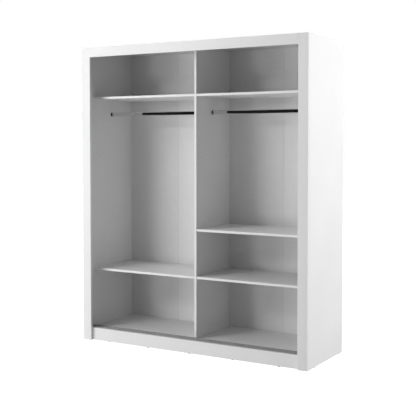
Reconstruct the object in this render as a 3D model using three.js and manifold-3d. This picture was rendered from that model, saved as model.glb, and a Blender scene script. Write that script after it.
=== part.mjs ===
// Two-bay wardrobe carcass for sliding doors, without its doors.
// Millimetres. X runs left to right, Y from the front (-) to the back (+), Z up from the floor.
// The origin is on the floor, under the middle of the carcass.

import * as THREE from 'three';
import { mergeVertices } from 'three/addons/utils/BufferGeometryUtils.js';
import Module from 'manifold-3d';

const wasm = await Module();
wasm.setup();

// ---------- driving dimensions ----------

const WIDTH = 1800;
const HEIGHT = 2150;
const DEPTH = 600;

const GAP = 0.3; // air between two pieces that touch
const BOARD = 16; // faced chipboard of the carcass
const FRAME_THICKNESS = 22; // front frame boards
const STILE_WIDTH = 70;
const FASCIA_HEIGHT = 69;
const GLIDE_HEIGHT = 5;
const PLINTH_TOP = 95;
const FLOOR_TOP = 90; // upper face of the bottom panel
const REAR_PLINTH_INSET = 60; // back of the carcass to the rear plinth's front face
const PARTITION_SETBACK = 115; // front frame's face to the partition's front edge
const SHELF_SETBACK = 116; // front frame's face to the shelves' front edges

const TOP_SHELF_MIDDLE = 1789;
const MIDDLE_SHELF_MIDDLE = 849;
const LOWER_SHELF_MIDDLE = 517;
const LOOSE_SHELF_END_GAP = 2;

const BACK_SHEET = 3;
const SHEET_MARGIN = 2; // the back sheets stop short of the carcass outline
const STRIP_FLANGE = 0.7;
const STRIP_WIDTH = 12;
const STRIP_WEB = 1;

const RAIL_SETBACK = 340; // front frame's face to the rails' axis
const RAIL_HEIGHT = 1675; // floor to the rails' axis
const RAIL_TALL = 30; // upright oval tube
const RAIL_WIDE = 15;
const RAIL_WALL = 1.2;

const FLANGE_THICKNESS = 2.5;
const FLANGE_RADIUS = 19;
const CRADLE_CLEARANCE = 0.4;
const CRADLE_WALL = 2.4;
const CRADLE_LENGTH = 13;
const CRADLE_RISE = 11; // height of the cradle's open arms above the rail's axis
const BRACKET_SCREW_RADIUS = 2.2;
const BRACKET_SCREW_OFFSET = 8; // each screw above or below the rail's axis

const PIN_SETBACKS = [180, 527]; // front frame's face to the two pin holes of a shelf end
const SPARE_PIN_HEIGHTS = { both: 1357, right: 936 };
const PIN_RADIUS = 2.5;
const PIN_HOLE_RADIUS = PIN_RADIUS + GAP;
const PIN_HOLE_DEPTH = 7;
const PIN_COLLAR = 1.2;
const PIN_COLLAR_RADIUS = 4;
const PIN_PEG = 9; // reach of the peg from the wall
const PIN_SIDES = 12;

const TRACK_SETBACK = 38.3; // front frame's face to the tracks' front edges
const TRACK_WIDTH = 74;
const BOTTOM_TRACK_HEIGHT = 7;
const BOTTOM_TRACK_BASE = 2;
const RIB_THICKNESS = 1.6;
const RIB_FRONTS = [0, 13, 23, 49.4, 59.4, TRACK_WIDTH - RIB_THICKNESS];
const TOP_TRACK_HEIGHT = 40;
const TOP_TRACK_WALL = 2;

const GLIDE_RADIUS = 7.5;
const GLIDE_RIM = 1.5; // chamfer round the foot
const GLIDE_SIDES = 16;
const GLIDE_PITCH = 343;
const SIDE_GLIDE_SETBACKS = { front: 122, rear: 560 };

// ---------- derived places ----------

const LEFT = -WIDTH / 2;
const RIGHT = WIDTH / 2;
const FRONT = -DEPTH / 2;
const BACK = DEPTH / 2;
const CARCASS_FRONT = FRONT + FRAME_THICKNESS + GAP;
const PLINTH_BACK = CARCASS_FRONT + BOARD;
const REAR_PLINTH_FRONT = BACK - REAR_PLINTH_INSET;
const SHEET_BACK = BACK - STRIP_FLANGE - GAP;
const SHEET_FRONT = SHEET_BACK - BACK_SHEET;
const CARCASS_BACK = SHEET_FRONT - GAP;
const STRIP_FRONT = SHEET_FRONT - GAP - STRIP_FLANGE;
const SHELF_BACK = STRIP_FRONT - 1;
const TOP_UNDERSIDE = HEIGHT - BOARD;
const FLOOR_UNDERSIDE = FLOOR_TOP - BOARD;
const PARTITION_LEFT_FACE = -BOARD / 2;
const PARTITION_RIGHT_FACE = BOARD / 2;
const TRACK_FRONT = FRONT + TRACK_SETBACK;

const BAYS = {
  left: { from: LEFT + BOARD, to: PARTITION_LEFT_FACE },
  right: { from: PARTITION_RIGHT_FACE, to: RIGHT - BOARD },
};

// ---------- materials ----------

const colours = {
  board: ['#eeeeee', 0.45, 0],
  backSheet: ['#e4e4e4', 0.55, 0],
  strip: ['#e9e9e9', 0.5, 0],
  chrome: ['#c8cacc', 0.12, 1],
  aluminium: ['#a9abad', 0.35, 1],
  glide: ['#8f8f8f', 0.6, 0],
  steel: ['#b9bbbd', 0.3, 1],
};

function material(kind) {
  const [color, roughness, metalness] = colours[kind];
  return new THREE.MeshStandardMaterial({ color, roughness, metalness });
}

// ---------- helpers ----------

const wardrobe = new THREE.Group();

function addPiece(name, geometry, kind, x, y, z) {
  const mesh = new THREE.Mesh(geometry, material(kind));
  mesh.name = name;
  mesh.position.set(x, y, z);
  wardrobe.add(mesh);
  return mesh;
}

// Joins and cuts need one closed mesh with shared corners, made from positions only.
function toSolid(geometry) {
  const bare = geometry.clone();
  bare.deleteAttribute('normal');
  bare.deleteAttribute('uv');
  const merged = mergeVertices(bare, 1e-4);
  const vertProperties = new Float32Array(merged.attributes.position.array);
  const triVerts = new Uint32Array(merged.index.array);
  return new wasm.Manifold(new wasm.Mesh({ numProp: 3, vertProperties, triVerts }));
}

function toGeometry(solid) {
  const mesh = solid.getMesh();
  const geometry = new THREE.BufferGeometry();
  geometry.setAttribute('position', new THREE.BufferAttribute(mesh.vertProperties, 3));
  geometry.setIndex(new THREE.BufferAttribute(mesh.triVerts, 1));
  return geometry;
}

// A cylinder whose axis lies along X, centred on the given point.
function crosswiseCylinder(radius, length, x, y, z, segments = PIN_SIDES) {
  const geometry = new THREE.CylinderGeometry(radius, radius, length, segments);
  geometry.rotateZ(Math.PI / 2);
  geometry.translate(x, y, z);
  return geometry;
}

// A board between two corners. Each hole is a blind bore along X, entered at its face x.
function addBoard(name, kind, low, high, holes = []) {
  const size = high.map((value, i) => value - low[i]);
  const centre = high.map((value, i) => (value + low[i]) / 2);
  let geometry = new THREE.BoxGeometry(...size);
  if (holes.length > 0) {
    let solid = toSolid(geometry);
    for (const hole of holes) {
      const [x, y, z] = [hole.x, hole.y, hole.z].map((value, i) => value - centre[i]);
      // The bore starts as far outside the face as it goes into the board.
      const bore = crosswiseCylinder(PIN_HOLE_RADIUS, 2 * PIN_HOLE_DEPTH, x, y, z);
      solid = solid.subtract(toSolid(bore));
    }
    geometry = toGeometry(solid);
  }
  return addPiece(name, geometry, kind, ...centre);
}

// A closed outline in the YZ plane, carried along X from x = 0.
function extrudeAlongX(shape, length, curveSegments = 12) {
  const geometry = new THREE.ExtrudeGeometry(shape, {
    depth: length,
    bevelEnabled: false,
    curveSegments,
  });
  // The shape's own x becomes Y and its own y becomes Z.
  const turn = new THREE.Matrix4().makeBasis(
    new THREE.Vector3(0, 1, 0),
    new THREE.Vector3(0, 0, 1),
    new THREE.Vector3(1, 0, 0),
  );
  return geometry.applyMatrix4(turn);
}

// ---------- shelf pins and their holes ----------

const looseShelves = [
  { name: 'lower_shelf_left', bay: 'left', middle: LOWER_SHELF_MIDDLE },
  { name: 'lower_shelf_right', bay: 'right', middle: LOWER_SHELF_MIDDLE },
  { name: 'middle_shelf_right', bay: 'right', middle: MIDDLE_SHELF_MIDDLE },
];

function pinHeight(shelfMiddle) {
  return shelfMiddle - BOARD / 2 - GAP - PIN_RADIUS;
}

// Every pin place on the two walls of a bay, the used ones and the spare ones.
function pinHoles(bayName, wall) {
  const heights = looseShelves
    .filter((shelf) => shelf.bay === bayName)
    .map((shelf) => pinHeight(shelf.middle));
  heights.push(SPARE_PIN_HEIGHTS.both);
  if (bayName === 'right') {
    heights.push(SPARE_PIN_HEIGHTS.right);
  }
  const x = BAYS[bayName][wall];
  return heights.flatMap((z) => PIN_SETBACKS.map((setback) => ({ x, y: FRONT + setback, z })));
}

// A pin is turned: a stud for the hole, a collar against the wall and a peg under the shelf.
function pinGeometry() {
  const stud = PIN_HOLE_DEPTH - 1;
  const profile = [
    [0, -stud],
    [PIN_RADIUS, -stud],
    [PIN_RADIUS, GAP],
    [PIN_COLLAR_RADIUS, GAP],
    [PIN_COLLAR_RADIUS, GAP + PIN_COLLAR],
    [PIN_RADIUS, GAP + PIN_COLLAR],
    [PIN_RADIUS, PIN_PEG - 1],
    [PIN_RADIUS - 1, PIN_PEG],
    [0, PIN_PEG],
  ];
  return new THREE.LatheGeometry(
    profile.map(([radius, along]) => new THREE.Vector2(radius, along)),
    PIN_SIDES,
  );
}

function addPins() {
  for (const shelf of looseShelves) {
    for (const wall of ['from', 'to']) {
      PIN_SETBACKS.forEach((setback, i) => {
        const side = wall === 'from' ? 'left' : 'right';
        const depth = i === 0 ? 'front' : 'rear';
        const pin = addPiece(
          `pin_${shelf.name}_${side}_${depth}`,
          pinGeometry(),
          'steel',
          BAYS[shelf.bay][wall],
          FRONT + setback,
          pinHeight(shelf.middle),
        );
        // The lathe turns about Y, and the peg points into the bay.
        pin.rotation.z = wall === 'from' ? -Math.PI / 2 : Math.PI / 2;
      });
    }
  }
}

// ---------- carcass ----------

function addSidePanels() {
  addBoard(
    'side_panel_left',
    'board',
    [LEFT, CARCASS_FRONT, GLIDE_HEIGHT],
    [LEFT + BOARD, CARCASS_BACK, HEIGHT],
    pinHoles('left', 'from'),
  );
  addBoard(
    'side_panel_right',
    'board',
    [RIGHT - BOARD, CARCASS_FRONT, GLIDE_HEIGHT],
    [RIGHT, CARCASS_BACK, HEIGHT],
    pinHoles('right', 'to'),
  );
}

function addPartition() {
  const holes = [...pinHoles('left', 'to'), ...pinHoles('right', 'from')];
  addBoard(
    'partition',
    'board',
    [PARTITION_LEFT_FACE, FRONT + PARTITION_SETBACK, FLOOR_TOP + GAP],
    [PARTITION_RIGHT_FACE, CARCASS_BACK, TOP_UNDERSIDE - GAP],
    holes,
  );
}

function addFrontFrame() {
  addBoard(
    'stile_left',
    'board',
    [LEFT, FRONT, GLIDE_HEIGHT],
    [LEFT + STILE_WIDTH, FRONT + FRAME_THICKNESS, HEIGHT],
  );
  addBoard(
    'stile_right',
    'board',
    [RIGHT - STILE_WIDTH, FRONT, GLIDE_HEIGHT],
    [RIGHT, FRONT + FRAME_THICKNESS, HEIGHT],
  );
  addBoard(
    'top_fascia',
    'board',
    [LEFT + STILE_WIDTH + GAP, FRONT, HEIGHT - FASCIA_HEIGHT],
    [RIGHT - STILE_WIDTH - GAP, FRONT + FRAME_THICKNESS, HEIGHT],
  );
}

function addTopAndBottom() {
  const from = LEFT + BOARD + GAP;
  const to = RIGHT - BOARD - GAP;
  addBoard('top_panel', 'board', [from, CARCASS_FRONT, TOP_UNDERSIDE], [to, CARCASS_BACK, HEIGHT]);
  addBoard(
    'bottom_panel',
    'board',
    [from, PLINTH_BACK + GAP, FLOOR_UNDERSIDE],
    [to, CARCASS_BACK, FLOOR_TOP],
  );
  addBoard(
    'plinth_front',
    'board',
    [from, CARCASS_FRONT, GLIDE_HEIGHT],
    [to, PLINTH_BACK, PLINTH_TOP],
  );
  addBoard(
    'plinth_rear',
    'board',
    [from, REAR_PLINTH_FRONT, GLIDE_HEIGHT],
    [to, REAR_PLINTH_FRONT + BOARD, FLOOR_UNDERSIDE - GAP],
  );
  addBoard(
    'plinth_cross_support',
    'board',
    [PARTITION_LEFT_FACE, PLINTH_BACK + GAP, GLIDE_HEIGHT],
    [PARTITION_RIGHT_FACE, REAR_PLINTH_FRONT - GAP, FLOOR_UNDERSIDE - GAP],
  );
}

function addShelf(name, bayName, middle, endGap) {
  const bay = BAYS[bayName];
  addBoard(
    name,
    'board',
    [bay.from + endGap, FRONT + SHELF_SETBACK, middle - BOARD / 2],
    [bay.to - endGap, SHELF_BACK, middle + BOARD / 2],
  );
}

function addShelves() {
  for (const bayName of ['left', 'right']) {
    addShelf(`top_shelf_${bayName}`, bayName, TOP_SHELF_MIDDLE, GAP);
  }
  for (const shelf of looseShelves) {
    addShelf(shelf.name, shelf.bay, shelf.middle, LOOSE_SHELF_END_GAP);
  }
}

// ---------- back ----------

function bayMiddle(bayName) {
  return (BAYS[bayName].from + BAYS[bayName].to) / 2;
}

function addBack() {
  const seam = STRIP_WEB / 2 + GAP;
  const leftSeam = bayMiddle('left');
  const rightSeam = bayMiddle('right');
  const sheets = [
    [LEFT + SHEET_MARGIN, leftSeam - seam],
    [leftSeam + seam, -GAP],
    [GAP, rightSeam - seam],
    [rightSeam + seam, RIGHT - SHEET_MARGIN],
  ];
  sheets.forEach(([from, to], i) => {
    addBoard(
      `back_sheet_${i + 1}`,
      'backSheet',
      [from, SHEET_FRONT, FLOOR_UNDERSIDE + SHEET_MARGIN],
      [to, SHEET_BACK, HEIGHT - SHEET_MARGIN],
    );
  });
}

// The joining strip has an H section: a flange on each side of the sheets and a web between them.
function addJoiningStrips() {
  const half = STRIP_WIDTH / 2;
  const halfWeb = STRIP_WEB / 2;
  const depth = BACK - STRIP_FRONT;
  const outline = new THREE.Shape([
    new THREE.Vector2(-half, 0),
    new THREE.Vector2(half, 0),
    new THREE.Vector2(half, STRIP_FLANGE),
    new THREE.Vector2(halfWeb, STRIP_FLANGE),
    new THREE.Vector2(halfWeb, depth - STRIP_FLANGE),
    new THREE.Vector2(half, depth - STRIP_FLANGE),
    new THREE.Vector2(half, depth),
    new THREE.Vector2(-half, depth),
    new THREE.Vector2(-half, depth - STRIP_FLANGE),
    new THREE.Vector2(-halfWeb, depth - STRIP_FLANGE),
    new THREE.Vector2(-halfWeb, STRIP_FLANGE),
    new THREE.Vector2(-half, STRIP_FLANGE),
  ]);
  const length = TOP_UNDERSIDE - FLOOR_TOP - 2 * GAP;
  for (const bayName of ['left', 'right']) {
    const geometry = new THREE.ExtrudeGeometry(outline, { depth: length, bevelEnabled: false });
    addPiece(
      `joining_strip_${bayName}`,
      geometry,
      'strip',
      bayMiddle(bayName),
      STRIP_FRONT,
      FLOOR_TOP + GAP,
    );
  }
}

// ---------- door tracks ----------

// Two running grooves between ribs that stand on a thin base.
function bottomTrackOutline() {
  const points = [new THREE.Vector2(0, 0), new THREE.Vector2(TRACK_WIDTH, 0)];
  for (const front of RIB_FRONTS.toReversed()) {
    const rear = front + RIB_THICKNESS;
    if (rear < TRACK_WIDTH) {
      points.push(new THREE.Vector2(rear, BOTTOM_TRACK_BASE));
    }
    points.push(new THREE.Vector2(rear, BOTTOM_TRACK_HEIGHT));
    points.push(new THREE.Vector2(front, BOTTOM_TRACK_HEIGHT));
    if (front > 0) {
      points.push(new THREE.Vector2(front, BOTTOM_TRACK_BASE));
    }
  }
  return new THREE.Shape(points);
}

// Two channels open downwards, side by side under one top flange.
function topTrackOutline() {
  const channel = (TRACK_WIDTH - 3 * TOP_TRACK_WALL) / 2;
  const under = TOP_TRACK_HEIGHT - TOP_TRACK_WALL;
  const points = [new THREE.Vector2(0, TOP_TRACK_HEIGHT), new THREE.Vector2(0, 0)];
  for (const start of [TOP_TRACK_WALL, 2 * TOP_TRACK_WALL + channel]) {
    points.push(new THREE.Vector2(start, 0));
    points.push(new THREE.Vector2(start, under));
    points.push(new THREE.Vector2(start + channel, under));
    points.push(new THREE.Vector2(start + channel, 0));
  }
  points.push(new THREE.Vector2(TRACK_WIDTH, 0));
  points.push(new THREE.Vector2(TRACK_WIDTH, TOP_TRACK_HEIGHT));
  return new THREE.Shape(points);
}

function addTracks() {
  const from = LEFT + BOARD + GAP;
  const length = WIDTH - 2 * BOARD - 2 * GAP;
  const bottom = extrudeAlongX(bottomTrackOutline(), length);
  addPiece('bottom_track', bottom, 'aluminium', from, TRACK_FRONT, FLOOR_TOP + GAP);
  const top = extrudeAlongX(topTrackOutline(), length);
  const topTrackFoot = TOP_UNDERSIDE - GAP - TOP_TRACK_HEIGHT;
  addPiece('top_track', top, 'aluminium', from, TRACK_FRONT, topTrackFoot);
}

// ---------- hanging rails ----------

// An upright oval: two half circles joined by straight sides, whose half length stays the same.
const OVAL_STRAIGHT = (RAIL_TALL - RAIL_WIDE) / 2;

function traceOval(path, halfWidth) {
  path.absarc(0, OVAL_STRAIGHT, halfWidth, 0, Math.PI);
  path.absarc(0, -OVAL_STRAIGHT, halfWidth, Math.PI, 2 * Math.PI);
  return path;
}

function addRails() {
  const endGap = FLANGE_THICKNESS + 3 * GAP;
  for (const bayName of ['left', 'right']) {
    const bay = BAYS[bayName];
    const ring = traceOval(new THREE.Shape(), RAIL_WIDE / 2);
    ring.holes.push(traceOval(new THREE.Path(), RAIL_WIDE / 2 - RAIL_WALL));
    const tube = extrudeAlongX(ring, bay.to - bay.from - 2 * endGap);
    addPiece(
      `hanging_rail_${bayName}`,
      tube,
      'chrome',
      bay.from + endGap,
      FRONT + RAIL_SETBACK,
      RAIL_HEIGHT,
    );
  }
}

// An open-topped cradle on a round flange, drawn from the wall towards +X.
function bracketGeometry() {
  const inner = RAIL_WIDE / 2 + CRADLE_CLEARANCE;
  const outer = inner + CRADLE_WALL;
  const cradle = new THREE.Shape();
  cradle.moveTo(-outer, CRADLE_RISE);
  cradle.absarc(0, -OVAL_STRAIGHT, outer, Math.PI, 2 * Math.PI);
  cradle.lineTo(outer, CRADLE_RISE);
  cradle.lineTo(inner, CRADLE_RISE);
  cradle.absarc(0, -OVAL_STRAIGHT, inner, 2 * Math.PI, Math.PI, true);
  cradle.lineTo(-inner, CRADLE_RISE);
  const flange = crosswiseCylinder(FLANGE_RADIUS, FLANGE_THICKNESS, FLANGE_THICKNESS / 2, 0, 0, 40);
  let solid = toSolid(extrudeAlongX(cradle, CRADLE_LENGTH)).add(toSolid(flange));
  for (const z of [-BRACKET_SCREW_OFFSET, BRACKET_SCREW_OFFSET]) {
    const hole = crosswiseCylinder(BRACKET_SCREW_RADIUS, 4 * FLANGE_THICKNESS, 0, 0, z);
    solid = solid.subtract(toSolid(hole));
  }
  return toGeometry(solid);
}

function addRailBrackets() {
  for (const bayName of ['left', 'right']) {
    for (const [side, wall] of [['left', 'from'], ['right', 'to']]) {
      const inward = wall === 'from' ? 1 : -1;
      const bracket = addPiece(
        `rail_bracket_${bayName}_bay_${side}`,
        bracketGeometry(),
        'chrome',
        BAYS[bayName][wall] + inward * GAP,
        FRONT + RAIL_SETBACK,
        RAIL_HEIGHT,
      );
      if (inward < 0) {
        bracket.rotation.z = Math.PI;
      }
    }
  }
}

// ---------- glides ----------

// A nailed-on plastic glide: a disc whose foot has a chamfered rim.
function glideGeometry() {
  const top = GLIDE_HEIGHT - GAP;
  const profile = [
    [0, 0],
    [GLIDE_RADIUS - GLIDE_RIM, 0],
    [GLIDE_RADIUS, GLIDE_RIM],
    [GLIDE_RADIUS, top],
    [0, top],
  ];
  const geometry = new THREE.LatheGeometry(
    profile.map(([radius, z]) => new THREE.Vector2(radius, z)),
    GLIDE_SIDES,
  );
  return geometry.rotateX(Math.PI / 2);
}

function addGlide(name, x, y) {
  addPiece(name, glideGeometry(), 'glide', x, y, 0);
}

function addGlides() {
  const plinthMiddle = CARCASS_FRONT + BOARD / 2;
  for (let i = 0; i < 5; i += 1) {
    addGlide(`plinth_glide_${i + 1}`, (i - 2) * GLIDE_PITCH, plinthMiddle);
  }
  for (const [depth, setback] of Object.entries(SIDE_GLIDE_SETBACKS)) {
    addGlide(`side_glide_left_${depth}`, LEFT + BOARD / 2, FRONT + setback);
    addGlide(`side_glide_right_${depth}`, RIGHT - BOARD / 2, FRONT + setback);
  }
  const rearMiddle = REAR_PLINTH_FRONT + BOARD / 2;
  for (let i = 0; i < 3; i += 1) {
    addGlide(`rear_glide_${i + 1}`, (i - 1) * 2 * GLIDE_PITCH, rearMiddle);
  }
}

addSidePanels();
addPartition();
addFrontFrame();
addTopAndBottom();
addShelves();
addPins();
addBack();
addJoiningStrips();
addTracks();
addRails();
addRailBrackets();
addGlides();

export default wardrobe;
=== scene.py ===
# %% [markdown]
# # A wardrobe carcass for sliding doors
#
# The real object is flat-pack furniture: boards of faced chipboard, a frame round the front, thin
# painted sheets nailed on the back, and a few metal and plastic fittings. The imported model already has
# every board and fitting at its true size and place. This lesson gives them eased edges, edge tape,
# nails, screws and finishes, and leaves all sizes as they are.

# %% Load the frame
import math

import bpy
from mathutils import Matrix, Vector


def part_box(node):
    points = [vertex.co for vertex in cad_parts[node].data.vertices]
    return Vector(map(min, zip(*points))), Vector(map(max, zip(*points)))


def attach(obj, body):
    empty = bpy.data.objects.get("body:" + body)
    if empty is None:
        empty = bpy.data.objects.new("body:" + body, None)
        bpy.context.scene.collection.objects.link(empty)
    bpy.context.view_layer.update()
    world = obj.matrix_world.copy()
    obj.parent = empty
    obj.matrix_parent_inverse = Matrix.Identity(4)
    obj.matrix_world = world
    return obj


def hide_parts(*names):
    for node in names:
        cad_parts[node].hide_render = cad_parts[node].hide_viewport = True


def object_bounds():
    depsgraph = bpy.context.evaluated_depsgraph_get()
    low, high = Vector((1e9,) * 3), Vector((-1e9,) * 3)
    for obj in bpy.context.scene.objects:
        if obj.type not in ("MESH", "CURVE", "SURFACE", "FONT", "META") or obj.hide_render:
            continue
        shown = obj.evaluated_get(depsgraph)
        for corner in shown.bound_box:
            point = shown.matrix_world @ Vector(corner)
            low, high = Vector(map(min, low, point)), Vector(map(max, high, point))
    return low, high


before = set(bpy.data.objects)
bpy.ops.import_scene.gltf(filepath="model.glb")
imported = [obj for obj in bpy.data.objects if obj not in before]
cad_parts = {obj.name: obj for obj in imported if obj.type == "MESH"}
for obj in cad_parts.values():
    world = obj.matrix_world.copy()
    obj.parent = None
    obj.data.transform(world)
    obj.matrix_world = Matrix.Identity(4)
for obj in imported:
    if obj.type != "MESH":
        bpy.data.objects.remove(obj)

MM = 0.001
CAD_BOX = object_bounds()
CAD_LOW, CAD_HIGH = CAD_BOX
print("nodes:", len(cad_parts), "size:", [round(b - a, 4) for a, b in zip(CAD_LOW, CAD_HIGH)])

# %% [markdown]
# ## Camera
#
# A tall cupboard is usually shown from about chest height with the camera nearly level, so that its
# uprights stay upright, and the frame is then slid down a little instead of tilting the camera further.
# The shift below does that sliding, and the long lens keeps the far side from shrinking too much.

# %% Camera
CAMERA_PLACE = (3.0840, -5.26323, 1.45417)
CAMERA_TURN = 30.42
CAMERA_DIP = 2.12
CAMERA_LENS = 74.06
CAMERA_SHIFT = -0.0793
SENSOR_WIDTH = 36  # a full-frame sensor, in millimetres
FURTHEST_SEEN = 60

camera_data = bpy.data.cameras.new("camera")
camera_data.lens = CAMERA_LENS
camera_data.sensor_width = SENSOR_WIDTH
camera_data.shift_y = CAMERA_SHIFT
camera_data.clip_end = FURTHEST_SEEN
camera = bpy.data.objects.new("camera", camera_data)
bpy.context.scene.collection.objects.link(camera)
camera.location = CAMERA_PLACE
camera.rotation_euler = (math.radians(90 - CAMERA_DIP), 0, math.radians(CAMERA_TURN))
bpy.context.scene.camera = camera
print("camera at", CAMERA_PLACE, "lens", CAMERA_LENS)

# %% [markdown]
# ## Studio light
#
# The studio is a white one: the walls, ceiling and floor all throw light back, each with its own
# strength. A world made of soft glows, one for each side of the room, is a quick way to build it. Each
# glow is strongest straight along its direction and fades to nothing at a right angle to it. Mirrors
# see a dark room instead, because a real studio's far end is unlit, and that is what gives a chrome
# tube its black core. The camera itself sees plain white behind the object.

# %% World glows
ROOM_GLOWS = {
    "rear wall": ((0, 1, 0), 1, 0.59),
    "floor": ((0, 0, -1), 1, 0.48),
    "left wall": ((-1, 0, 0), 1, 0.335),
    "ceiling": ((0, 0, 1), 1, 0.16),
    "right wall": ((1, 0, 0), 1, 0.18),
    "low front left": ((-0.5, -1, -0.4), 4, 0.40),
}
DARK_ROOM = 0.012


def room_world():
    world = bpy.data.worlds.new("studio")
    world.use_nodes = True
    nodes = world.node_tree.nodes
    links = world.node_tree.links
    nodes.clear()
    direction = nodes.new("ShaderNodeTexCoord").outputs["Generated"]
    total = None
    for axis, fade, strength in ROOM_GLOWS.values():
        facing = nodes.new("ShaderNodeVectorMath")
        facing.operation = "DOT_PRODUCT"
        facing.inputs[1].default_value = Vector(axis).normalized()
        links.new(direction, facing.inputs[0])
        clipped = nodes.new("ShaderNodeMath")
        clipped.operation = "MAXIMUM"
        clipped.inputs[1].default_value = 0
        links.new(facing.outputs["Value"], clipped.inputs[0])
        faded = nodes.new("ShaderNodeMath")
        faded.operation = "POWER"
        faded.inputs[1].default_value = fade
        links.new(clipped.outputs[0], faded.inputs[0])
        summed = nodes.new("ShaderNodeMath")
        summed.operation = "MULTIPLY_ADD"
        summed.inputs[1].default_value = strength
        summed.inputs[2].default_value = 0
        links.new(faded.outputs[0], summed.inputs[0])
        if total is not None:
            links.new(total, summed.inputs[2])
        total = summed.outputs[0]
    rays = nodes.new("ShaderNodeLightPath")
    glow, dark, white = (nodes.new("ShaderNodeBackground") for _ in range(3))
    for background, strength in ((glow, 1), (dark, DARK_ROOM), (white, 1)):
        background.inputs["Color"].default_value = (1, 1, 1, 1)
        background.inputs["Strength"].default_value = strength
    links.new(total, glow.inputs["Strength"])
    mirrored = nodes.new("ShaderNodeMixShader")
    links.new(rays.outputs["Is Glossy Ray"], mirrored.inputs[0])
    links.new(glow.outputs[0], mirrored.inputs[1])
    links.new(dark.outputs[0], mirrored.inputs[2])
    seen = nodes.new("ShaderNodeMixShader")
    links.new(rays.outputs["Is Camera Ray"], seen.inputs[0])
    links.new(mirrored.outputs[0], seen.inputs[1])
    links.new(white.outputs[0], seen.inputs[2])
    output = nodes.new("ShaderNodeOutputWorld")
    links.new(seen.outputs[0], output.inputs["Surface"])
    return world


bpy.context.scene.world = room_world()
print("room glows:", ", ".join(ROOM_GLOWS))

# %% [markdown]
# Lamps make the shadows. The softboxes stand to the left of the camera, so the left upright throws its
# soft-edged shadow across the shelves and the back. A tall strip and a high box do most of that work,
# and small boxes low down, close by and overhead fill in where the boards would hide each other. One
# more lamp, off to the right, brightens the outer side. All of them aim at the middle of the object, and
# none of them shows up in the chrome.

# %% Softboxes
LAMP_AIM = Vector((0, 0, 1.1))
LAMPS = {
    "left_tall": ((-3.2, -3.6, 1.0), 1.0, 1.9, 40),
    "left_high": ((-2.4, -4.2, 2.9), 0.9, 0.7, 41),
    "left_side_low": ((-3.0, -2.4, 0.3), 0.8, 0.6, 8),
    "front_low": ((-1.69, -4.38, 0.3), 0.7, 0.6, 22.5),
    "near_left": ((-1.6, -2.4, 3.4), 0.8, 0.8, 10),
    "top_left": ((-1.8, -1.2, 4.4), 1.0, 1.0, 19.5),
    "side_right": ((4.9, 0.9, 2.6), 1.5, 1.5, 149),
}


def add_softbox(name, place, width, height, power):
    data = bpy.data.lights.new(name, "AREA")
    data.shape = "RECTANGLE"
    data.size = width
    data.size_y = height
    data.energy = power
    lamp = bpy.data.objects.new(name, data)
    bpy.context.scene.collection.objects.link(lamp)
    lamp.location = place
    lamp.rotation_euler = (LAMP_AIM - Vector(place)).to_track_quat("-Z", "Y").to_euler()
    lamp.visible_glossy = False
    return lamp


for lamp_name, (lamp_place, lamp_width, lamp_height, lamp_power) in LAMPS.items():
    add_softbox(lamp_name, lamp_place, lamp_width, lamp_height, lamp_power)
bpy.context.scene.view_settings.view_transform = "Standard"
bpy.context.scene.view_settings.look = "None"
print("softboxes:", ", ".join(LAMPS))

# %% [markdown]
# ## Floor
#
# The floor is a pale sheet with no marks on it. The light that a real floor throws up is already one of
# the room's glows, so this one is only there to be seen. It glows white by itself and takes no part in
# shadows or reflections.

# %% Floor
FLOOR_SIZE = 40
FLOOR_GREY = (0.9, 0.9, 0.9, 1)
WHITE = (1, 1, 1, 1)

bpy.ops.mesh.primitive_plane_add(size=FLOOR_SIZE, location=(0, 0, 0))
floor = bpy.context.active_object
floor.name = "floor"
floor_paint = bpy.data.materials.new("floor_paint")
floor_paint.use_nodes = True
floor_shader = floor_paint.node_tree.nodes["Principled BSDF"]
floor_shader.inputs["Base Color"].default_value = FLOOR_GREY
floor_shader.inputs["Emission Color"].default_value = WHITE
floor_shader.inputs["Emission Strength"].default_value = 1
floor.data.materials.append(floor_paint)
floor.visible_diffuse = False
floor.visible_glossy = False
floor.visible_shadow = False
print("floor:", FLOOR_SIZE, "m square")

# %% [markdown]
# ## Finishes
#
# Nothing here is one flat colour. Even a white board has a fine pearl texture pressed into its face, a
# slight drift of tone from one end to the other, and places that hands have polished. All patterns are
# worked out from noise or cells in the object's own coordinates, in metres, so they keep their true
# scale on every piece and stay put when the view turns.

# %% Helpers for finishes
def start_finish(name):
    finish = bpy.data.materials.new(name)
    finish.use_nodes = True
    tree = finish.node_tree
    shader = tree.nodes["Principled BSDF"]
    coordinates = tree.nodes.new("ShaderNodeTexCoord").outputs["Object"]
    return finish, tree, shader, coordinates


def noise(tree, coordinates, size, detail=2.0, stretch=(1, 1, 1)):
    """Noise whose blobs are about size metres across, drawn out along an axis where stretch is small."""
    mapping = tree.nodes.new("ShaderNodeMapping")
    mapping.inputs["Scale"].default_value = stretch
    tree.links.new(coordinates, mapping.inputs["Vector"])
    texture = tree.nodes.new("ShaderNodeTexNoise")
    texture.inputs["Scale"].default_value = 1 / size
    texture.inputs["Detail"].default_value = detail
    tree.links.new(mapping.outputs["Vector"], texture.inputs["Vector"])
    return texture.outputs["Fac"]


def spread(tree, value, low, high, darkest=0.3, brightest=0.7):
    """Turns noise, which gathers round a half, into values from low to high."""
    fit = tree.nodes.new("ShaderNodeMapRange")
    fit.inputs["From Min"].default_value = darkest
    fit.inputs["From Max"].default_value = brightest
    fit.inputs["To Min"].default_value = low
    fit.inputs["To Max"].default_value = high
    tree.links.new(value, fit.inputs["Value"])
    return fit.outputs["Result"]


def multiply(tree, first, second):
    product = tree.nodes.new("ShaderNodeMath")
    product.operation = "MULTIPLY"
    tree.links.new(first, product.inputs[0])
    tree.links.new(second, product.inputs[1])
    return product.outputs[0]


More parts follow.
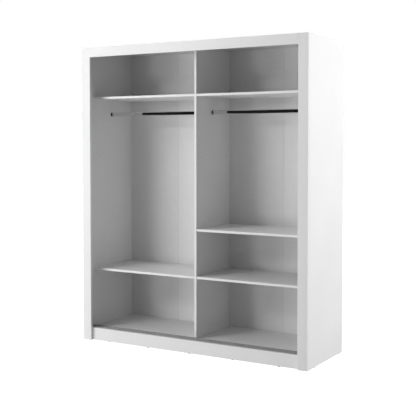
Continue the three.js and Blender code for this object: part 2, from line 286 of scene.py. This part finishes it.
def grey_from(tree, value):
    """A neutral colour of that brightness."""
    colour = tree.nodes.new("ShaderNodeCombineColor")
    for channel in ("Red", "Green", "Blue"):
        tree.links.new(value, colour.inputs[channel])
    return colour.outputs["Color"]


def two_tone(tree, value, dark, light):
    ramp = tree.nodes.new("ShaderNodeValToRGB")
    ramp.color_ramp.elements[0].color = (*dark, 1)
    ramp.color_ramp.elements[0].position = 0.35
    ramp.color_ramp.elements[1].color = (*light, 1)
    ramp.color_ramp.elements[1].position = 0.65
    tree.links.new(value, ramp.inputs["Fac"])
    return ramp.outputs["Color"]


def emboss(tree, shader, height, depth, strength=1.0):
    bump = tree.nodes.new("ShaderNodeBump")
    bump.inputs["Distance"].default_value = depth
    bump.inputs["Strength"].default_value = strength
    tree.links.new(height, bump.inputs["Height"])
    tree.links.new(bump.outputs["Normal"], shader.inputs["Normal"])


print("helpers for finishes are ready")

# %% [markdown]
# ### White board faces
#
# The boards are chipboard under a white melamine film. The film has a pearl texture of shallow pits a
# millimetre or two apart, and a hazy sheen that is smoother where it has been handled. The same recipe,
# a little brighter and smoother, is the foil on the front frame, the plinth and the outer sides, and
# once more for the edge tape. The film is set darker than the foil partly as painted shade, because the
# inside of the carcass, where the film shows, lies in shade.

# %% White films
DRIFT_SIZE = 450 * MM
MOTTLE_SIZE = 12 * MM
HANDLED_SIZE = 180 * MM
DARKER = 0.985
LIGHTER = 1.015


def white_film(name, brightness, sheen, pearl_size, pearl_depth):
    finish, tree, shader, place = start_finish(name)
    slow = noise(tree, place, DRIFT_SIZE, detail=2)
    drift = spread(tree, slow, brightness * DARKER, brightness * LIGHTER)
    mottle = spread(tree, noise(tree, place, MOTTLE_SIZE, detail=4), DARKER, LIGHTER)
    tone = multiply(tree, drift, mottle)
    tree.links.new(grey_from(tree, tone), shader.inputs["Base Color"])
    handled = noise(tree, place, HANDLED_SIZE, detail=5)
    rough = spread(tree, handled, sheen - 0.05, sheen + 0.06)
    tree.links.new(rough, shader.inputs["Roughness"])
    emboss(tree, shader, noise(tree, place, pearl_size, detail=3), pearl_depth, 0.35)
    return finish


# Darker than the foil partly as painted shade for the shaded inside of the carcass.
film_with_painted_shade = white_film("white_melamine_with_painted_shade", 0.81, 0.48, 1.8 * MM, 0.03 * MM)
front_foil = white_film("white_front_foil", 0.92, 0.40, 1.2 * MM, 0.02 * MM)
edge_tape = white_film("white_edge_tape", 0.94, 0.33, 0.9 * MM, 0.015 * MM)
print("films:", film_with_painted_shade.name, front_foil.name, edge_tape.name)

# %% [markdown]
# ### Bare chipboard
#
# Where no one looks, such as rear edges, feet and the inside of pin holes, the tape is left off and the
# pressed wood flakes show. Cells of a Voronoi pattern make the flakes, each with its own brown, and a
# finer noise roughens them.

# %% Chipboard
FLAKE_SIZE = 2.4 * MM
DARK_FLAKE = (0.30, 0.19, 0.10)
PALE_FLAKE = (0.62, 0.46, 0.29)
CHIP_SIZE = 0.8 * MM
CHIP_DEPTH = 0.15 * MM


def chipboard_edge():
    finish, tree, shader, place = start_finish("bare_chipboard")
    cells = tree.nodes.new("ShaderNodeTexVoronoi")
    cells.inputs["Scale"].default_value = 1 / FLAKE_SIZE
    tree.links.new(place, cells.inputs["Vector"])
    flake = tree.nodes.new("ShaderNodeSeparateColor")
    tree.links.new(cells.outputs["Color"], flake.inputs["Color"])
    browns = two_tone(tree, flake.outputs["Red"], DARK_FLAKE, PALE_FLAKE)
    tree.links.new(browns, shader.inputs["Base Color"])
    shader.inputs["Roughness"].default_value = 0.85
    emboss(tree, shader, noise(tree, place, CHIP_SIZE, detail=4), CHIP_DEPTH, 0.7)
    return finish


chipboard = chipboard_edge()
print("chipboard:", chipboard.name)

# %% [markdown]
# ### Back sheets
#
# The back is thin hardboard. Its inner face is painted white, and thin paint lets some of the fibre
# clouds through. No two sheets are quite alike, so each has its own brightness. The rear face is left
# brown, with a pressed fibre mat that goes cloudy in patches.

# %% Hardboard
CLOUD_SIZE = 70 * MM
FIBRE_SIZE = 6 * MM
MAT_SIZE = 4 * MM
PATCH_SIZE = 250 * MM
SHEEN_SIZE = 100 * MM
PAINT_GRAIN = 2.5 * MM
PAINT_DEPTH = 0.04 * MM
RAW_GRAIN = 1.5 * MM
RAW_DEPTH = 0.12 * MM
DARK_FIBRE = (0.20, 0.115, 0.06)
PALE_FIBRE = (0.33, 0.205, 0.115)


def painted_hardboard(name, brightness):
    finish, tree, shader, place = start_finish(name)
    clouds = spread(tree, noise(tree, place, CLOUD_SIZE, detail=4), brightness * DARKER, brightness * 1.012)
    fibres = spread(tree, noise(tree, place, FIBRE_SIZE, detail=5, stretch=(1, 1, 0.45)), DARKER, LIGHTER)
    tree.links.new(grey_from(tree, multiply(tree, clouds, fibres)), shader.inputs["Base Color"])
    rough = spread(tree, noise(tree, place, SHEEN_SIZE, detail=3), 0.50, 0.62)
    tree.links.new(rough, shader.inputs["Roughness"])
    emboss(tree, shader, noise(tree, place, PAINT_GRAIN, detail=4), PAINT_DEPTH, 0.35)
    return finish


def bare_hardboard():
    finish, tree, shader, place = start_finish("bare_hardboard")
    mat = noise(tree, place, MAT_SIZE, detail=6, stretch=(1, 1, 0.6))
    browns = two_tone(tree, mat, DARK_FIBRE, PALE_FIBRE)
    patches = spread(tree, noise(tree, place, PATCH_SIZE, detail=3), 0.88, 1.08)
    shaded = tree.nodes.new("ShaderNodeVectorMath")
    shaded.operation = "SCALE"
    tree.links.new(browns, shaded.inputs[0])
    tree.links.new(patches, shaded.inputs["Scale"])
    tree.links.new(shaded.outputs["Vector"], shader.inputs["Base Color"])
    shader.inputs["Roughness"].default_value = 0.7
    emboss(tree, shader, noise(tree, place, RAW_GRAIN, detail=5), RAW_DEPTH, 0.6)
    return finish


SHEET_BRIGHTNESS = {1: 0.795, 2: 0.82, 3: 0.79, 4: 0.81}
sheet_paints = {i: painted_hardboard(f"painted_hardboard_{i}", b) for i, b in SHEET_BRIGHTNESS.items()}
sheet_rear = bare_hardboard()
print("sheets:", SHEET_BRIGHTNESS)

# %% [markdown]
# ### Metals
#
# Chrome plate is almost a perfect mirror, dulled a little by fine lengthwise polishing marks. The door
# tracks are drawn aluminium with an anodised skin: satin, with long straight draw lines. The pins,
# screws and nails are zinc-plated steel, duller and slightly patchy.

# %% Metals
HAZE_SIZE = 30 * MM


def metal(name, brightness, metallic, dull, dull_spread, mark_size, mark_depth, stretch, streaks=0):
    finish, tree, shader, place = start_finish(name)
    shader.inputs["Metallic"].default_value = metallic
    marks = noise(tree, place, mark_size, detail=3, stretch=stretch)
    haze = spread(tree, noise(tree, place, HAZE_SIZE, detail=4), brightness * 0.97, brightness * 1.02)
    tone = multiply(tree, haze, spread(tree, marks, 1 - streaks, 1 + streaks))
    tree.links.new(grey_from(tree, tone), shader.inputs["Base Color"])
    tree.links.new(spread(tree, marks, dull, dull + dull_spread), shader.inputs["Roughness"])
    emboss(tree, shader, marks, mark_depth, 0.3)
    return finish


ALONG_X = (0.02, 1, 1)
EVEN = (1, 1, 1)
chrome = metal("chrome_plate", 0.80, 1, 0.03, 0.05, 0.5 * MM, 0.0015 * MM, ALONG_X)
track_metal = metal("anodised_aluminium", 0.50, 0.2, 0.42, 0.14, 0.6 * MM, 0.02 * MM, ALONG_X, 0.1)
zinc = metal("zinc_plated_steel", 0.62, 0.5, 0.28, 0.2, 1.5 * MM, 0.02 * MM, EVEN)
print("metals:", chrome.name, track_metal.name, zinc.name)

# %% [markdown]
# ### Plastics
#
# The joining strips are white PVC with faint lines along them from the die. The glides under the feet
# are harder grey plastic, matt and scuffed by the floor.

# %% Plastics
DIE_LINE_DEPTH = 0.03 * MM


def moulded(name, brightness, dull, mark_size, stretch, scuff):
    finish, tree, shader, place = start_finish(name)
    lines = noise(tree, place, mark_size, detail=3, stretch=stretch)
    tone = spread(tree, lines, brightness * (1 - scuff), brightness * (1 + scuff))
    tree.links.new(grey_from(tree, tone), shader.inputs["Base Color"])
    tree.links.new(spread(tree, lines, dull - 0.06, dull + 0.08), shader.inputs["Roughness"])
    emboss(tree, shader, lines, DIE_LINE_DEPTH, 0.4)
    return finish


ALONG_Z = (1, 1, 0.01)
strip_plastic = moulded("white_strip_plastic", 0.77, 0.42, 0.8 * MM, ALONG_Z, 0.03)
glide_plastic = moulded("grey_glide_plastic", 0.20, 0.55, 1.2 * MM, EVEN, 0.10)
print("plastics:", strip_plastic.name, glide_plastic.name)

# %% [markdown]
# ## Working on meshes
#
# The frame's own meshes are never changed, so each board is worked on as a copy. The copy comes as loose
# triangles: its doubles are merged and its flat faces made whole again before any edge is eased. Faces
# for another finish are picked by where they are and which way they face.

# %% Helpers for meshes
FLAT_ANGLE = math.radians(1)
SMOOTH_ANGLE = math.radians(35)
SHARP_ANGLE = math.radians(50)
TINY = 0.01 * MM


def activate(piece):
    if bpy.context.object and bpy.context.object.mode != "OBJECT":
        bpy.ops.object.mode_set(mode="OBJECT")
    bpy.ops.object.select_all(action="DESELECT")
    piece.select_set(True)
    bpy.context.view_layer.objects.active = piece


def copy_of(node, name):
    """A copy of a CAD node with merged corners and whole faces."""
    piece = bpy.data.objects.new(name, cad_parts[node].data.copy())
    piece.data.name = name
    piece.data.materials.clear()
    bpy.context.scene.collection.objects.link(piece)
    activate(piece)
    bpy.ops.mesh.customdata_custom_splitnormals_clear()
    bpy.ops.object.mode_set(mode="EDIT")
    bpy.ops.mesh.select_all(action="SELECT")
    bpy.ops.mesh.remove_doubles(threshold=TINY)
    bpy.ops.mesh.dissolve_limited(angle_limit=FLAT_ANGLE)
    bpy.ops.object.mode_set(mode="OBJECT")
    return piece


def cut_at(piece, point, normal):
    """Adds a line of edges where a plane crosses the piece."""
    activate(piece)
    bpy.ops.object.mode_set(mode="EDIT")
    bpy.ops.mesh.select_all(action="SELECT")
    bpy.ops.mesh.bisect(plane_co=point, plane_no=normal)
    bpy.ops.object.mode_set(mode="OBJECT")


def ease_edges(piece, width, segments=2):
    """Rounds every sharp edge, as sandpaper or a trimming cutter does."""
    activate(piece)
    bevel = piece.modifiers.new("eased", "BEVEL")
    bevel.width = width
    bevel.segments = segments
    bevel.limit_method = "ANGLE"
    bevel.angle_limit = SHARP_ANGLE
    bevel.use_clamp_overlap = True
    bpy.ops.object.modifier_apply(modifier=bevel.name)


def smooth(piece):
    """Lets the eased corners shade round, while the large faces beside them stay flat."""
    activate(piece)
    bpy.ops.object.shade_smooth_by_angle(angle=SMOOTH_ANGLE)
    flat_faces = piece.modifiers.new("flat_faces", "WEIGHTED_NORMAL")
    flat_faces.keep_sharp = True
    bpy.ops.object.modifier_apply(modifier=flat_faces.name)


def paint(piece, finishes, choose):
    """choose gets a face's middle and normal, and answers with the number of its finish."""
    for finish in finishes:
        piece.data.materials.append(finish)
    for face in piece.data.polygons:
        face.material_index = choose(face.center, face.normal)


def paint_whole(piece, finish):
    paint(piece, [finish], lambda middle, normal: 0)


def settle(piece):
    """Puts the piece's place into its mesh."""
    activate(piece)
    bpy.ops.object.transform_apply(location=True, rotation=True, scale=True)


def own_copy(piece, name, move=(0, 0, 0)):
    twin = bpy.data.objects.new(name, piece.data.copy())
    twin.data.name = name
    bpy.context.scene.collection.objects.link(twin)
    for vertex in twin.data.vertices:
        vertex.co += Vector(move)
    return twin


print("helpers for meshes are ready")

# %% [markdown]
# ## Boards
#
# Each board is cut from a big panel, and its visible narrow edges are then taped. The tape shows as a
# fine line a millimetre from the front, and the trimming cutter leaves the corner slightly round. So
# each copy is cut once behind its front edge, its corners are eased by about half a millimetre, and its
# faces get film, tape or bare chipboard by where they lie. A plain box would have the size and lack all
# that.

# %% Boards
TAPE = 1 * MM
EASE = 0.6 * MM
FILM, TAPED, BARE, FOIL = range(4)
BOARD_FINISHES = [film_with_painted_shade, edge_tape, chipboard, front_foil]
FACING = 0.6  # how much of a face's normal has to lie along a direction for the face to face that way


def board_chooser(low, high, outer):
    """Which finish a board's face gets. outer is the direction of a face with the front foil, if any."""
    thin = min(range(3), key=lambda i: high[i] - low[i])

    def choose(middle, normal):
        if outer is not None and normal.dot(Vector(outer)) > FACING:
            return FOIL
        on_face = abs(normal[thin]) > FACING
        in_hole = min(middle[thin] - low[thin], high[thin] - middle[thin]) > EASE
        at_edge = any(
            middle[i] - low[i] < 2 * EASE or high[i] - middle[i] < 2 * EASE for i in range(3) if i != thin
        )
        if in_hole and not at_edge:
            return BARE
        if middle.y - low.y < TAPE and not on_face:
            return TAPED
        if normal.y > FACING or (normal.z < -FACING and thin != 2):
            return BARE
        if middle.y - low.y < TAPE:
            return TAPED
        return FILM

    return choose


def add_board(node, body="carcass", outer=None, ease=EASE):
    low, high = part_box(node)
    board = copy_of(node, f"{node}_board")
    cut_at(board, (0, low.y + TAPE, 0), (0, 1, 0))
    ease_edges(board, ease)
    paint(board, BOARD_FINISHES, board_chooser(low, high, outer))
    smooth(board)
    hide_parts(node)
    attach(board, body)
    return board


INNER_BOARDS = [
    "partition", "top_panel", "bottom_panel", "plinth_rear", "plinth_cross_support",
    "top_shelf_left", "top_shelf_right",
]
LOOSE_SHELVES = ["lower_shelf_left", "lower_shelf_right", "middle_shelf_right"]
# Outer faces get the brighter foil; the film on the inner faces is darker partly as painted shade.
OUTER_FACES = {"side_panel_left": (-1, 0, 0), "side_panel_right": (1, 0, 0), "plinth_front": (0, -1, 0)}

for inner_board in INNER_BOARDS:
    add_board(inner_board)
for loose_shelf in LOOSE_SHELVES:
    add_board(loose_shelf, body=loose_shelf)
for outer_board, outer_face in OUTER_FACES.items():
    add_board(outer_board, outer=outer_face)
print("boards:", len(INNER_BOARDS) + len(LOOSE_SHELVES) + len(OUTER_FACES))

# %% [markdown]
# ## Front frame
#
# The two stiles and the fascia hide the boards' front edges and the ends of the tracks. They are thicker
# boards wrapped all round in a smooth white foil, so they have no tape line, and the wrap gives them a
# rounder corner than a taped edge has.

# %% Front frame
WRAP = 1.2 * MM
FLOOR_REACH = 20 * MM
WRAPPED = ["stile_left", "stile_right", "top_fascia"]


def add_wrapped_board(node):
    low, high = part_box(node)
    board = copy_of(node, f"{node}_board")
    ease_edges(board, WRAP, segments=3)
    bottom = low.z + EASE
    on_floor_side = low.z < FLOOR_REACH
    paint(
        board,
        [front_foil, chipboard],
        lambda middle, normal: int(on_floor_side and middle.z < bottom and normal.z < -FACING),
    )
    smooth(board)
    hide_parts(node)
    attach(board, "carcass")
    return board


for wrapped in WRAPPED:
    add_wrapped_board(wrapped)
print("wrapped boards:", ", ".join(WRAPPED))

# %% [markdown]
# ## Back sheets and their strips
#
# The sheets are only a few millimetres thick and are left with sharp sawn edges, so they get the
# smallest of easings. The face that looks into the wardrobe is painted, and all the others are raw.

# %% Back sheets
SHEETS = {number: f"back_sheet_{number}" for number in SHEET_BRIGHTNESS}
PAINTED, RAW = range(2)
SAWN_EASE = 0.2 * MM

for sheet_number, sheet_node in SHEETS.items():
    sheet = copy_of(sheet_node, f"{sheet_node}_panel")
    ease_edges(sheet, SAWN_EASE, segments=1)
    paint(
        sheet,
        [sheet_paints[sheet_number], sheet_rear],
        lambda middle, normal: PAINTED if normal.y < -FACING else RAW,
    )
    smooth(sheet)
    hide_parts(sheet_node)
    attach(sheet, "carcass")
print("back sheets:", len(SHEETS))

# %% [markdown]
# In each bay two sheets meet in a plastic strip with an H section, whose flanges grip both of them. The
# section is the frame's own, and easing its corners a little gives it the soft edges that a drawn
# plastic profile has.

# %% Joining strips
STRIP_EASE = 0.2 * MM

for strip_node in ("joining_strip_left", "joining_strip_right"):
    strip = copy_of(strip_node, f"{strip_node}_profile")
    ease_edges(strip, STRIP_EASE)
    paint_whole(strip, strip_plastic)
    smooth(strip)
    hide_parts(strip_node)
    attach(strip, "carcass")
print("joining strips: 2")

# %% [markdown]
# ## Nails
#
# The sheets are nailed to the fixed boards behind them. A nail's head is a shallow dome. One head is a
# short cylinder whose outer face is inset twice and raised a little, and all the others are copies of
# it. They sit in the millimetre between the sheets and the outermost face of the strips.

# %% Nails
NAIL_RADIUS = 1.9 * MM
NAIL_HEIGHT = 0.7 * MM
NAIL_SIDES = 12
NAIL_PITCH = 150 * MM
AT_PARTITION = 7 * MM  # a sheet's edge this near the middle lies behind the partition
NAIL_ROW_INSET = 4.2 * MM  # an upright row, from the edge of its sheet
NAIL_END_INSET = 30 * MM  # a level row's first and last nail, from the edges of the sheet
DOME_STEP = 0.35 * NAIL_RADIUS
DOME_RISE = 0.2 * NAIL_HEIGHT


def nail_head():
    bpy.ops.object.select_all(action="DESELECT")
    bpy.ops.mesh.primitive_cylinder_add(
        vertices=NAIL_SIDES, radius=NAIL_RADIUS, depth=NAIL_HEIGHT, location=(0, 0, 0),
        rotation=(math.radians(-90), 0, 0),
    )
    head = bpy.context.active_object
    settle(head)
    bpy.ops.object.mode_set(mode="EDIT")
    bpy.ops.mesh.select_all(action="DESELECT")
    bpy.ops.object.mode_set(mode="OBJECT")
    for face in head.data.polygons:
        face.select = face.normal.y > FACING
    bpy.ops.object.mode_set(mode="EDIT")
    bpy.ops.mesh.inset(thickness=DOME_STEP, depth=0)
    bpy.ops.mesh.inset(thickness=DOME_STEP, depth=DOME_RISE)
    bpy.ops.object.mode_set(mode="OBJECT")
    return head


def spaced(start, end, pitch):
    """Evenly spaced places from start to end, no further apart than pitch."""
    steps = max(1, math.ceil((end - start) / pitch))
    return [start + (end - start) * i / steps for i in range(steps + 1)]


def middle_height(node):
    low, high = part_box(node)
    return (low.z + high.z) / 2


def nail_places(sheet_node):
    """Nails follow the upright edge with a board behind it, and the fixed boards that cross the sheet."""
    low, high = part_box(sheet_node)
    nearest = min((abs(edge), edge) for edge in (low.x, high.x))[1]
    outermost = max((abs(edge), edge) for edge in (low.x, high.x))[1]
    upright = nearest if abs(nearest) < AT_PARTITION else outermost
    inward = 1 if upright == low.x else -1
    bottom = middle_height("bottom_panel")
    top = middle_height("top_panel")
    places = [(upright + inward * NAIL_ROW_INSET, z) for z in spaced(bottom, top, NAIL_PITCH)]
    for level in (bottom, middle_height("top_shelf_left"), top):
        row = spaced(low.x + NAIL_END_INSET, high.x - NAIL_END_INSET, NAIL_PITCH)
        places += [(x, level) for x in row]
    return places


head = nail_head()
for sheet_node in SHEETS.values():
    sheet_rear_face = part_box(sheet_node)[1].y
    heads = []
    for x, z in nail_places(sheet_node):
        heads.append(own_copy(head, "nail", (x, sheet_rear_face + NAIL_HEIGHT / 2, z)))
    activate(heads[0])
    for other in heads[1:]:
        other.select_set(True)
    bpy.ops.object.join()
    nails = bpy.context.active_object
    nails.name = f"{sheet_node}_nails"
    paint_whole(nails, zinc)
    smooth(nails)
    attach(nails, "carcass")
    print(nails.name, len(heads))
bpy.data.objects.remove(head)

# %% [markdown]
# ## Door tracks
#
# Both tracks are drawn aluminium profiles, so their section is the same all along. The die leaves tiny
# roundings on every rib. The profile comes from the frame, and the roundings are added here, with a
# screw every few hands' widths to hold the lower one down.

# %% Tracks
DRAWN_EASE = 0.3 * MM

for track_node in ("bottom_track", "top_track"):
    track = copy_of(track_node, f"{track_node}_profile")
    ease_edges(track, DRAWN_EASE)
    paint_whole(track, track_metal)
    smooth(track)
    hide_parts(track_node)
    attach(track, "carcass")
print("tracks: 2")

# %% [markdown]
# A cross-recess screw head starts as a short cylinder with an eased rim. Two thin bars, laid across each
# other, are then cut out of its top with a boolean, which leaves the cross. Extruding the cross's faces
# down would need the round top split up first, and cutting avoids that.

# %% Screw heads
SCREW_RADIUS = 2.0 * MM
SCREW_HEIGHT = 1.0 * MM
SCREW_SIDES = 16
SCREW_EASE = 0.25 * MM
RECESS_WIDTH = 0.6 * MM
RECESS_REACH = 1.2 * MM
RECESS_DEPTH = 0.6 * MM


def screw_head():
    """A low round head with a cross recess, its axis along Z and its underside at z = 0."""
    bpy.ops.object.select_all(action="DESELECT")
    bpy.ops.mesh.primitive_cylinder_add(
        vertices=SCREW_SIDES, radius=SCREW_RADIUS, depth=SCREW_HEIGHT, location=(0, 0, SCREW_HEIGHT / 2)
    )
    body = bpy.context.active_object
    settle(body)
    ease_edges(body, SCREW_EASE)
    for across in (0, 1):
        size = [RECESS_WIDTH, RECESS_WIDTH, 2 * RECESS_DEPTH]
        size[across] = 2 * RECESS_REACH
        bpy.ops.mesh.primitive_cube_add(size=1, location=(0, 0, SCREW_HEIGHT), scale=size)
        blade = bpy.context.active_object
        settle(blade)
        activate(body)
        cut = body.modifiers.new("recess", "BOOLEAN")
        cut.operation = "DIFFERENCE"
        cut.solver = "EXACT"
        cut.object = blade
        bpy.ops.object.modifier_apply(modifier=cut.name)
        bpy.data.objects.remove(blade)
    return body


def place_screws(name, pattern, places, turn, finish):
    """Copies of the pattern at the places, each turned by the given rotation, joined as one piece."""
    screws = []
    for place in places:
        screw = own_copy(pattern, "screw")
        screw.rotation_euler = turn
        screw.location = place
        settle(screw)
        screws.append(screw)
    activate(screws[0])
    for other in screws[1:]:
        other.select_set(True)
    bpy.ops.object.join()
    piece = bpy.context.active_object
    piece.name = name
    piece.data.materials.clear()
    paint_whole(piece, finish)
    smooth(piece)
    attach(piece, "carcass")
    return piece


pattern_screw = screw_head()
track_low, track_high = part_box("bottom_track")
TRACK_BASE = 2 * MM
TRACK_SCREW_PITCH = 420 * MM
TRACK_SCREW_INSET = 60 * MM
TRACK_SCREW_TURN = math.radians(20)
screw_line = (track_low.y + track_high.y) / 2
track_xs = spaced(track_low.x + TRACK_SCREW_INSET, track_high.x - TRACK_SCREW_INSET, TRACK_SCREW_PITCH)
place_screws(
    "bottom_track_screws", pattern_screw, [(x, screw_line, track_low.z + TRACK_BASE) for x in track_xs],
    (0, 0, TRACK_SCREW_TURN), zinc,
)
print("bottom track screws:", len(track_xs))

# %% [markdown]
# ## Hanging rails
#
# A hanging rail is a chromed steel tube, rolled to an upright oval so that it bends less under clothes,
# and just over a millimetre in the wall. It is modelled open at both ends. A cylinder without caps has
# its upper and lower halves moved apart, which leaves flat sides between two half circles. Solidify then
# gives it its wall, and its cut rims are eased as a deburring tool does.

# %% Rails
RAIL_WALL = 1.2 * MM
RAIL_SIDES = 62  # even, but not a multiple of four, so that no corner lies at half height


def add_rail(bay):
    node = f"hanging_rail_{bay}"
    low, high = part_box(node)
    middle = (low + high) / 2
    wide, tall = high.y - low.y, high.z - low.z
    bpy.ops.object.select_all(action="DESELECT")
    bpy.ops.mesh.primitive_cylinder_add(
        vertices=RAIL_SIDES, radius=wide / 2, depth=high.x - low.x, end_fill_type="NOTHING",
        location=middle, rotation=(math.radians(90), 0, math.radians(90)),
    )
    rail = bpy.context.active_object
    rail.name = f"{node}_tube"
    settle(rail)
    for vertex in rail.data.vertices:
        vertex.co.z += math.copysign((tall - wide) / 2, vertex.co.z - middle.z)
    wall = rail.modifiers.new("wall", "SOLIDIFY")
    wall.thickness = RAIL_WALL
    wall.offset = -1
    bpy.ops.object.modifier_apply(modifier=wall.name)
    ease_edges(rail, DRAWN_EASE)
    paint_whole(rail, chrome)
    smooth(rail)
    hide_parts(node)
    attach(rail, node)
    return rail


for bay in ("left", "right"):
    rail = add_rail(bay)
    print(rail.name, "faces:", len(rail.data.polygons))

# %% [markdown]
# ## Rail brackets
#
# Each end of a rail rests in an open-topped cradle, cast in one piece with the round flange that is
# screwed to the wall. The casting is chromed, and all its corners are soft. Two screws hold it, copies of
# the one above, and the rail's open end hides them until the rail is lifted out.

# %% Brackets
SCREW_OFFSET = 8 * MM
FLANGE_THICKNESS = 2.5 * MM
CAST_EASE = 0.4 * MM

for bay in ("left", "right"):
    for side, inward in (("left", 1), ("right", -1)):
        bracket_node = f"rail_bracket_{bay}_bay_{side}"
        low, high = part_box(bracket_node)
        bracket = copy_of(bracket_node, f"{bracket_node}_casting")
        ease_edges(bracket, CAST_EASE)
        paint_whole(bracket, chrome)
        smooth(bracket)
        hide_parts(bracket_node)
        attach(bracket, "carcass")
        wall_x = low.x if inward > 0 else high.x
        rail_low, rail_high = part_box(f"hanging_rail_{bay}")
        axis_y = (rail_low.y + rail_high.y) / 2
        axis_z = (rail_low.z + rail_high.z) / 2
        screw_x = wall_x + inward * (FLANGE_THICKNESS - SCREW_HEIGHT)
        screw_spots = [(screw_x, axis_y, axis_z + offset) for offset in (-SCREW_OFFSET, SCREW_OFFSET)]
        place_screws(
            f"{bracket_node}_screws", pattern_screw, screw_spots,
            (0, math.radians(90 * inward), 0), zinc,
        )
bpy.data.objects.remove(pattern_screw)
print("brackets: 4, with two screws each")

# %% [markdown]
# ## Shelf pins
#
# A loose shelf lies on four turned pins. The lathe's own way of working suits Spin, but a pin is so
# small that a cylinder with one end extruded into a collar and a peg gives the same surface sooner.
# The frame's own pins have twelve sides, and these have twice as many.

# %% Pins
PIN_RADIUS = 2.5 * MM
COLLAR_RADIUS = 4.0 * MM
STUD = 6 * MM  # the part inside the wall
WALL_GAP = 0.3 * MM
COLLAR = 1.2 * MM
PEG_REACH = 9 * MM  # from the wall to the tip
TIP = 1 * MM
TIP_TAPER = 0.6
PIN_SIDES = 24


def select_end(piece, direction):
    """Selects the flat faces furthest along a direction, in edit mode."""
    activate(piece)
    bpy.ops.object.mode_set(mode="EDIT")
    bpy.ops.mesh.select_mode(type="FACE")
    bpy.ops.mesh.select_all(action="DESELECT")
    bpy.ops.object.mode_set(mode="OBJECT")
    furthest = max(face.center.dot(direction) for face in piece.data.polygons)
    for face in piece.data.polygons:
        facing = face.normal.dot(direction) > FACING
        face.select = facing and furthest - face.center.dot(direction) < TINY
    bpy.ops.object.mode_set(mode="EDIT")


def pin_pattern():
    """A pin along X: the wall is at x = 0, the stud goes to -X and the peg ends in a small chamfer."""
    outwards = Vector((1, 0, 0))
    bpy.ops.object.select_all(action="DESELECT")
    bpy.ops.mesh.primitive_cylinder_add(
        vertices=PIN_SIDES, radius=PIN_RADIUS, depth=STUD + WALL_GAP,
        location=((WALL_GAP - STUD) / 2, 0, 0), rotation=(0, math.radians(90), 0),
    )
    pin = bpy.context.active_object
    settle(pin)
    select_end(pin, outwards)
    bpy.ops.mesh.extrude_region_move()
    wider = COLLAR_RADIUS / PIN_RADIUS
    bpy.ops.transform.resize(value=(1, wider, wider))
    bpy.ops.mesh.extrude_region_move(TRANSFORM_OT_translate={"value": (COLLAR, 0, 0)})
    bpy.ops.mesh.extrude_region_move()
    bpy.ops.transform.resize(value=(1, 1 / wider, 1 / wider))
    straight = PEG_REACH - TIP - WALL_GAP - COLLAR
    bpy.ops.mesh.extrude_region_move(TRANSFORM_OT_translate={"value": (straight, 0, 0)})
    bpy.ops.mesh.extrude_region_move(TRANSFORM_OT_translate={"value": (TIP, 0, 0)})
    bpy.ops.transform.resize(value=(1, TIP_TAPER, TIP_TAPER))
    bpy.ops.object.mode_set(mode="OBJECT")
    return pin


pin = pin_pattern()
pin_count = 0
for shelf_name in LOOSE_SHELVES:
    for side, turn in (("left", 0), ("right", math.radians(180))):
        for depth in ("front", "rear"):
            pin_node = f"pin_{shelf_name}_{side}_{depth}"
            low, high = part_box(pin_node)
            middle = (low + high) / 2
            stud_tip = low.x if side == "left" else high.x
            twin = own_copy(pin, f"{pin_node}_turned")
            twin.rotation_euler = (0, 0, turn)
            wall_x = stud_tip + (STUD if side == "left" else -STUD)
            twin.location = (wall_x, middle.y, middle.z)
            settle(twin)
            paint_whole(twin, zinc)
            smooth(twin)
            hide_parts(pin_node)
            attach(twin, "carcass")
            pin_count += 1
bpy.data.objects.remove(pin)
print("pins:", pin_count)

# %% [markdown]
# ## Glides
#
# The feet are plastic discs with a nail through the middle. A glide is a short cylinder with rounded
# rims, and its underside is inset and sunk where the nail's head sits. One is made, and all the glides
# are copies of it.

# %% Glides
GLIDE_SIDES = 32
GLIDE_ROUNDING = 1.2 * MM
SOLE_SHARE = 0.42  # width of the flat ring that stands on the floor, as a share of the radius
SEAT_STEP = 0.3 * MM
NAIL_SINK = 0.8 * MM


def glide_pattern(radius, height):
    down = Vector((0, 0, -1))
    bpy.ops.object.select_all(action="DESELECT")
    bpy.ops.mesh.primitive_cylinder_add(
        vertices=GLIDE_SIDES, radius=radius, depth=height, location=(0, 0, height / 2)
    )
    glide = bpy.context.active_object
    settle(glide)
    ease_edges(glide, GLIDE_ROUNDING, segments=3)
    select_end(glide, down)
    bpy.ops.mesh.inset(thickness=radius * SOLE_SHARE, depth=0)
    bpy.ops.mesh.inset(thickness=SEAT_STEP, depth=-NAIL_SINK)
    bpy.ops.object.mode_set(mode="OBJECT")
    return glide


glide_nodes = sorted(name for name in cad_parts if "_glide_" in name)
low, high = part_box(glide_nodes[0])
pattern_glide = glide_pattern((high.x - low.x) / 2, high.z - low.z)
for glide_node in glide_nodes:
    low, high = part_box(glide_node)
    middle = (low + high) / 2
    glide = own_copy(pattern_glide, f"{glide_node}_disc", (middle.x, middle.y, low.z))
    paint_whole(glide, glide_plastic)
    smooth(glide)
    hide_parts(glide_node)
    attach(glide, "carcass")
bpy.data.objects.remove(pattern_glide)
print("glides:", len(glide_nodes))

# %% [markdown]
# ## Sizes
#
# The looks must not make the object bigger, so the frame's box is printed as the size to keep to.

# %% Print the frame's size
print("CAD box:", [list(c) for c in CAD_BOX])
